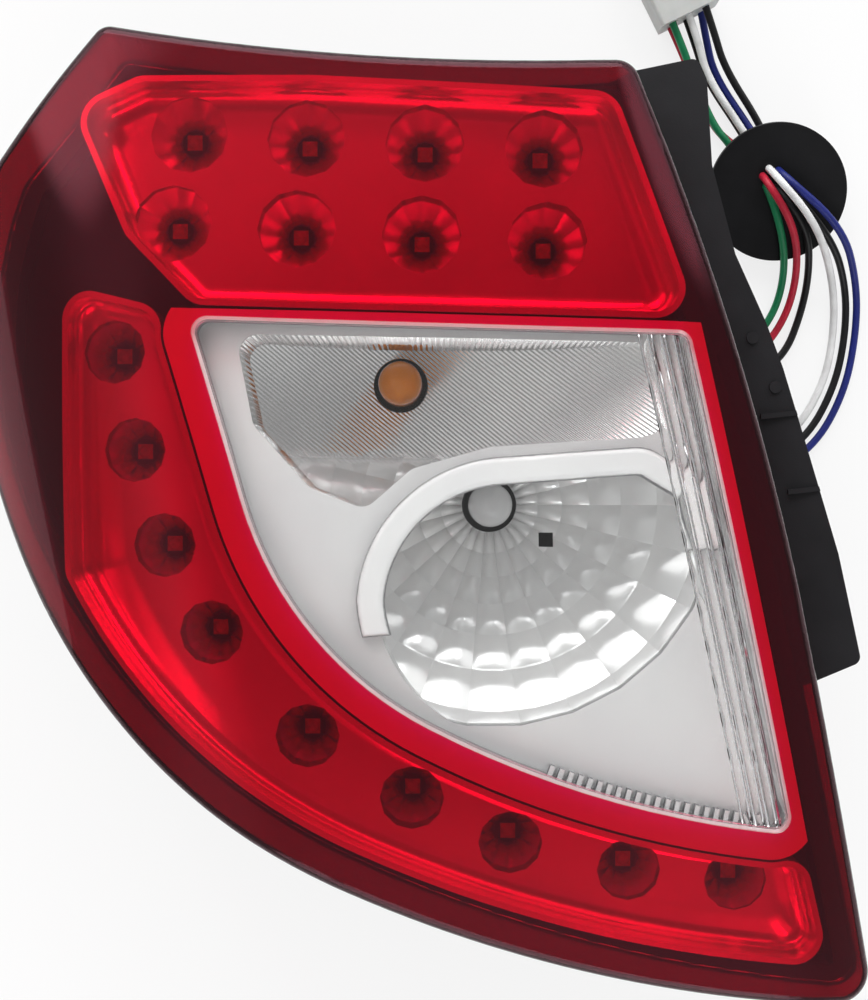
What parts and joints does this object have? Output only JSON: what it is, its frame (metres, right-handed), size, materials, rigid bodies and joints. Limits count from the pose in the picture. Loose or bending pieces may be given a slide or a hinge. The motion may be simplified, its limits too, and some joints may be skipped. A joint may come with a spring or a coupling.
{
  "type": "tail light cluster",
  "caption": "Rear lamp cluster of a car: wrapped red lens with a clear window over bright cupped reflectors, black housing with studs and a flange, and a short wired plug.",
  "frame": {"origin": "on the main stud's axis, in the plane of the mounting washers' seats", "axes": "+X inboard across the car, +Y up the car, +Z out of the lens; the studs point along -Z"},
  "size_m": [0.315, 0.3791, 0.12],
  "materials": {
    "red_lens": "clear red acrylic, polished",
    "clear_lens": "clear acrylic, polished",
    "bright_reflector": "vacuum metallised, bright",
    "black_moulding": "black, fine satin grain",
    "board": "green solder mask",
    "led_red": "moulded, clear red",
    "steel": "zinc plated",
    "amber_glass": "amber tinted",
    "clear_glass": "clear",
    "rubber_black": "matt",
    "connector_plastic": "natural nylon, satin",
    "brass_tin": "tinned",
    "sealant": "cured sealant",
    "wire_green": "satin sleeve",
    "wire_red": "satin sleeve",
    "wire_black": "satin sleeve",
    "wire_white": "satin sleeve",
    "wire_blue": "satin sleeve"
  },
  "bodies": {
    "root": {"lens_red": "red_lens", "lens_clear_window": "clear_lens", "brake_reflector": "bright_reflector", "tail_reflector": "bright_reflector", "centre_reflector": "bright_reflector", "brake_led_board": "board", "tail_led_board": "board", "brake_leds": "led_red", "tail_leds": "led_red", "board_screws": "steel", "mounting_studs": "steel", "stud_washers": "rubber_black", "wire_green": "wire_green", "wire_red": "wire_red", "wire_black_turn": "wire_black", "wire_white": "wire_white", "wire_black_reverse": "wire_black", "wire_blue": "wire_blue", "turn_bulb": "amber_glass", "reverse_bulb": "clear_glass", "turn_bulb_holder": "black_moulding", "reverse_bulb_holder": "black_moulding", "holder_seals": "rubber_black", "led_wire_gland": "rubber_black", "vent_cap": "rubber_black", "lens_sealing_bead": "sealant", "housing": "black_moulding", "body_grommet": "rubber_black", "connector_shell": "connector_plastic", "connector_terminals": "brass_tin"}
  },
  "joints": []
}
